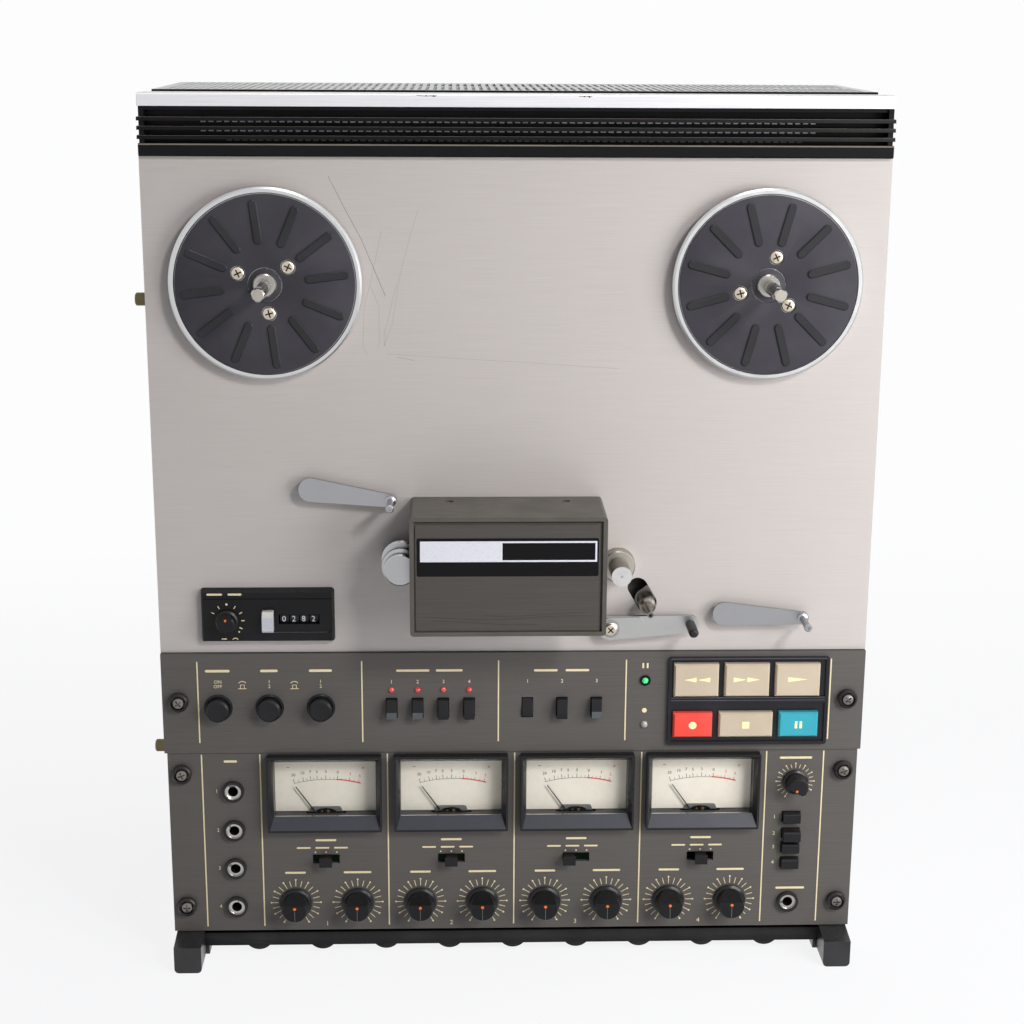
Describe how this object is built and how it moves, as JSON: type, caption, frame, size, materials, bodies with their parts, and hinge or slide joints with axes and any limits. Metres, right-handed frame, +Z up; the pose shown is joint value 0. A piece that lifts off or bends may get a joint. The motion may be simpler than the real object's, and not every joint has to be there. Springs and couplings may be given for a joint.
{
  "type": "reel-to-reel tape recorder",
  "caption": "Upright reel-to-reel tape recorder with reel tables, covered heads, transport keys, level meters and level knobs.",
  "frame": {"origin": "on the table, under the middle of the box round the whole recorder", "axes": "+Z up, +X to the right seen from the front, the front faces -Y"},
  "size_m": [0.453, 0.2644, 0.5573],
  "materials": {
    "beige_key": "moulded",
    "black_knob": "moulded",
    "black_moulding": "moulded, slightly glossy from use",
    "black_paint": "matt black paint",
    "black_screw": "black oxide, turned",
    "blue_key": "moulded",
    "bright_trim": "bright extrusion",
    "case_paint": "satin grey paint on sheet steel",
    "chrome": "polished and plated",
    "circuit_board": "epoxy board and dark parts",
    "cover_paint": "dark bronze-grey, satin",
    "dark_panel": "dark bronze-grey anodised, brushed",
    "deck_aluminium": "fine horizontal brushing, clear lacquer",
    "grey_plastic": "moulded",
    "head_metal": "machined",
    "mat_rubber": "matt",
    "motor_steel": "bare rolled steel",
    "needle_paint": "matt black",
    "nickel": "nickel plated",
    "red_key": "moulded",
    "scale_card": "printed card",
    "table_aluminium": "turned",
    "zinc_plate": "zinc plated"
  },
  "bodies": {
    "recorder": {"case": "case_paint", "back_panel": "black_paint", "deck_panel": "deck_aluminium", "transport_panel": "dark_panel", "amplifier_panel": "dark_panel", "top_louvre": "black_moulding", "top_trim": "bright_trim", "feet": "black_moulding", "panel_screws": "black_screw", "inner_chassis": "zinc_plate", "motors": "motor_steel", "electronics": "circuit_board", "connectors": "nickel", "head_cover": "cover_paint", "tape_heads": "head_metal", "counter_box": "black_moulding", "key_bezels": "black_moulding", "meter_cases": "black_moulding", "meter_scales": "scale_card"},
    "left_reel": {"reel_table_left": "table_aluminium", "reel_mat_left": "mat_rubber"},
    "right_reel": {"reel_table_right": "table_aluminium", "reel_mat_right": "mat_rubber"},
    "left_lock": {"reel_lock_left": "nickel"},
    "right_lock": {"reel_lock_right": "nickel"},
    "counter_wheels_body": {"counter_wheels": "black_moulding"},
    "counter_reset_body": {"counter_reset": "grey_plastic"},
    "meter_needle_1_body": {"meter_needle_1": "needle_paint"},
    "meter_needle_2_body": {"meter_needle_2": "needle_paint"},
    "meter_needle_3_body": {"meter_needle_3": "needle_paint"},
    "meter_needle_4_body": {"meter_needle_4": "needle_paint"},
    "tension_arm_left_body": {"tension_arm_left": "chrome"},
    "tension_arm_right_body": {"tension_arm_right": "chrome"},
    "tape_roller_body": {"tape_roller": "chrome"},
    "capstan_body": {"capstan": "chrome"},
    "pinch_arm_body": {"pinch_arm": "zinc_plate"},
    "cue_lever_body": {"cue_lever": "chrome"},
    "pitch_knob_body": {"pitch_knob": "black_knob"},
    "monitor_knob_body": {"monitor_knob": "black_knob"},
    "power_button_body": {"power_button": "black_knob"},
    "reel_size_button_body": {"reel_size_button": "black_knob"},
    "speed_button_body": {"speed_button": "black_knob"},
    "function_keys_body": {"function_keys": "black_knob"},
    "output_keys_body": {"output_keys": "black_knob"},
    "monitor_keys_body": {"monitor_keys": "black_knob"},
    "input_levers_body": {"input_levers": "black_knob"},
    "rewind_key_body": {"rewind_key": "beige_key"},
    "fast_forward_key_body": {"fast_forward_key": "beige_key"},
    "play_key_body": {"play_key": "beige_key"},
    "record_key_body": {"record_key": "red_key"},
    "stop_key_body": {"stop_key": "beige_key"},
    "pause_key_body": {"pause_key": "blue_key"},
    "input_knob_1_body": {"input_knob_1": "black_knob"},
    "output_knob_1_body": {"output_knob_1": "black_knob"},
    "input_knob_2_body": {"input_knob_2": "black_knob"},
    "output_knob_2_body": {"output_knob_2": "black_knob"},
    "input_knob_3_body": {"input_knob_3": "black_knob"},
    "output_knob_3_body": {"output_knob_3": "black_knob"},
    "input_knob_4_body": {"input_knob_4": "black_knob"},
    "output_knob_4_body": {"output_knob_4": "black_knob"}
  },
  "joints": [
    {"name": "left_reel_spin", "type": "hinge", "parent": "recorder", "child": "left_reel", "pos_m": [-0.146, -0.08025, 0.4449], "axis": [0, 1, 0], "continuous": true},
    {"name": "right_reel_spin", "type": "hinge", "parent": "recorder", "child": "right_reel", "pos_m": [0.154, -0.08025, 0.4449], "axis": [0, 1, 0], "continuous": true},
    {"name": "left_lock_turn", "type": "hinge", "parent": "left_reel", "child": "left_lock", "pos_m": [-0.146, -0.08025, 0.4449], "axis": [0, 1, 0], "range_deg": [0, 60]},
    {"name": "right_lock_turn", "type": "hinge", "parent": "right_reel", "child": "right_lock", "pos_m": [0.154, -0.08025, 0.4449], "axis": [0, 1, 0], "range_deg": [0, 60]},
    {"name": "left_tension_swing", "type": "hinge", "parent": "recorder", "child": "tension_arm_left_body", "pos_m": [-0.1219, -0.08025, 0.3191], "axis": [0, 1, 0], "range_deg": [0, 30], "stiffness_Nm_per_rad": 0.1, "springref_deg": -17.19},
    {"name": "right_tension_swing", "type": "hinge", "parent": "recorder", "child": "tension_arm_right_body", "pos_m": [0.135, -0.08025, 0.2384], "axis": [0, -1, 0], "range_deg": [0, 30], "stiffness_Nm_per_rad": 0.1, "springref_deg": -17.19},
    {"name": "tape_roller_spin", "type": "hinge", "parent": "recorder", "child": "tape_roller_body", "pos_m": [-0.067, -0.08025, 0.2754], "axis": [0, 1, 0], "continuous": true},
    {"name": "capstan_spin", "type": "hinge", "parent": "recorder", "child": "capstan_body", "pos_m": [0.068, -0.08025, 0.2694], "axis": [0, 1, 0], "continuous": true},
    {"name": "pinch_arm_swing", "type": "hinge", "parent": "recorder", "child": "pinch_arm_body", "pos_m": [0.1312, -0.08025, 0.2766], "axis": [0, 1, 0], "range_deg": [0, 11.5], "stiffness_Nm_per_rad": 0.5, "springref_deg": -11.46},
    {"name": "cue_lever_swing", "type": "hinge", "parent": "recorder", "child": "cue_lever_body", "pos_m": [0.0634, -0.08025, 0.2293], "axis": [0, 1, 0], "range_deg": [0, 12], "stiffness_Nm_per_rad": 0.2, "springref_deg": -17.19},
    {"name": "counter_wheels_spin", "type": "hinge", "parent": "recorder", "child": "counter_wheels_body", "pos_m": [-0.131, -0.07565, 0.2353], "axis": [1, 0, 0], "continuous": true},
    {"name": "counter_reset_press", "type": "slide", "parent": "recorder", "child": "counter_reset_body", "axis": [0, 1, 0], "range_m": [0, 0.0025], "stiffness_N_per_m": 200, "springref_m": -0.002},
    {"name": "pitch_knob_turn", "type": "hinge", "parent": "recorder", "child": "pitch_knob_body", "pos_m": [-0.1757, -0.08025, 0.2349], "axis": [0, 1, 0], "range_deg": [-135, 135]},
    {"name": "monitor_knob_turn", "type": "hinge", "parent": "recorder", "child": "monitor_knob_body", "pos_m": [0.1856, -0.08025, 0.123], "axis": [0, 1, 0], "range_deg": [0, 300]},
    {"name": "power_button_press", "type": "slide", "parent": "recorder", "child": "power_button_body", "axis": [0, 1, 0], "range_m": [0, 0.004], "stiffness_N_per_m": 200, "springref_m": -0.003},
    {"name": "reel_size_button_press", "type": "slide", "parent": "recorder", "child": "reel_size_button_body", "axis": [0, 1, 0], "range_m": [0, 0.004], "stiffness_N_per_m": 200, "springref_m": -0.003},
    {"name": "speed_button_press", "type": "slide", "parent": "recorder", "child": "speed_button_body", "axis": [0, 1, 0], "range_m": [0, 0.004], "stiffness_N_per_m": 200, "springref_m": -0.003},
    {"name": "function_keys_press", "type": "slide", "parent": "recorder", "child": "function_keys_body", "axis": [0, 1, 0], "range_m": [0, 0.003], "stiffness_N_per_m": 200, "springref_m": -0.003},
    {"name": "output_keys_press", "type": "slide", "parent": "recorder", "child": "output_keys_body", "axis": [0, 1, 0], "range_m": [0, 0.003], "stiffness_N_per_m": 200, "springref_m": -0.003},
    {"name": "monitor_keys_press", "type": "slide", "parent": "recorder", "child": "monitor_keys_body", "axis": [0, 1, 0], "range_m": [0, 0.003], "stiffness_N_per_m": 200, "springref_m": -0.003},
    {"name": "input_levers_shift", "type": "slide", "parent": "recorder", "child": "input_levers_body", "axis": [1, 0, 0], "range_m": [0, 0.0046]},
    {"name": "rewind_key_press", "type": "slide", "parent": "recorder", "child": "rewind_key_body", "axis": [0, 1, 0], "range_m": [0, 0.0025], "stiffness_N_per_m": 250, "springref_m": -0.002},
    {"name": "fast_forward_key_press", "type": "slide", "parent": "recorder", "child": "fast_forward_key_body", "axis": [0, 1, 0], "range_m": [0, 0.0025], "stiffness_N_per_m": 250, "springref_m": -0.002},
    {"name": "play_key_press", "type": "slide", "parent": "recorder", "child": "play_key_body", "axis": [0, 1, 0], "range_m": [0, 0.0025], "stiffness_N_per_m": 250, "springref_m": -0.002},
    {"name": "record_key_press", "type": "slide", "parent": "recorder", "child": "record_key_body", "axis": [0, 1, 0], "range_m": [0, 0.0025], "stiffness_N_per_m": 250, "springref_m": -0.002},
    {"name": "stop_key_press", "type": "slide", "parent": "recorder", "child": "stop_key_body", "axis": [0, 1, 0], "range_m": [0, 0.0025], "stiffness_N_per_m": 250, "springref_m": -0.002},
    {"name": "pause_key_press", "type": "slide", "parent": "recorder", "child": "pause_key_body", "axis": [0, 1, 0], "range_m": [0, 0.0025], "stiffness_N_per_m": 250, "springref_m": -0.002},
    {"name": "meter_needle_1_swing", "type": "hinge", "parent": "recorder", "child": "meter_needle_1_body", "pos_m": [-0.1175, -0.08025, 0.0923], "axis": [0, 1, 0], "range_deg": [0, 70], "stiffness_Nm_per_rad": 0.0003, "springref_deg": -8.59},
    {"name": "input_knob_1_turn", "type": "hinge", "parent": "recorder", "child": "input_knob_1_body", "pos_m": [-0.1376, -0.08025, 0.0405], "axis": [0, 1, 0], "range_deg": [-150, 150]},
    {"name": "output_knob_1_turn", "type": "hinge", "parent": "recorder", "child": "output_knob_1_body", "pos_m": [-0.0974, -0.08025, 0.0405], "axis": [0, 1, 0], "range_deg": [-150, 150]},
    {"name": "meter_needle_2_swing", "type": "hinge", "parent": "recorder", "child": "meter_needle_2_body", "pos_m": [-0.0365, -0.08025, 0.0923], "axis": [0, 1, 0], "range_deg": [0, 70], "stiffness_Nm_per_rad": 0.0003, "springref_deg": -8.59},
    {"name": "input_knob_2_turn", "type": "hinge", "parent": "recorder", "child": "input_knob_2_body", "pos_m": [-0.0566, -0.08025, 0.0405], "axis": [0, 1, 0], "range_deg": [-150, 150]},
    {"name": "output_knob_2_turn", "type": "hinge", "parent": "recorder", "child": "output_knob_2_body", "pos_m": [-0.0164, -0.08025, 0.0405], "axis": [0, 1, 0], "range_deg": [-150, 150]},
    {"name": "meter_needle_3_swing", "type": "hinge", "parent": "recorder", "child": "meter_needle_3_body", "pos_m": [0.0445, -0.08025, 0.0923], "axis": [0, 1, 0], "range_deg": [0, 70], "stiffness_Nm_per_rad": 0.0003, "springref_deg": -8.59},
    {"name": "input_knob_3_turn", "type": "hinge", "parent": "recorder", "child": "input_knob_3_body", "pos_m": [0.0244, -0.08025, 0.0405], "axis": [0, 1, 0], "range_deg": [-150, 150]},
    {"name": "output_knob_3_turn", "type": "hinge", "parent": "recorder", "child": "output_knob_3_body", "pos_m": [0.0646, -0.08025, 0.0405], "axis": [0, 1, 0], "range_deg": [-150, 150]},
    {"name": "meter_needle_4_swing", "type": "hinge", "parent": "recorder", "child": "meter_needle_4_body", "pos_m": [0.1255, -0.08025, 0.0923], "axis": [0, 1, 0], "range_deg": [0, 70], "stiffness_Nm_per_rad": 0.0003, "springref_deg": -8.59},
    {"name": "input_knob_4_turn", "type": "hinge", "parent": "recorder", "child": "input_knob_4_body", "pos_m": [0.1054, -0.08025, 0.0405], "axis": [0, 1, 0], "range_deg": [-150, 150]},
    {"name": "output_knob_4_turn", "type": "hinge", "parent": "recorder", "child": "output_knob_4_body", "pos_m": [0.1456, -0.08025, 0.0405], "axis": [0, 1, 0], "range_deg": [-150, 150]}
  ],
  "couplings": [
    {"joint": "counter_wheels_spin", "follows": "left_reel_spin", "ratio": 0.1}
  ]
}
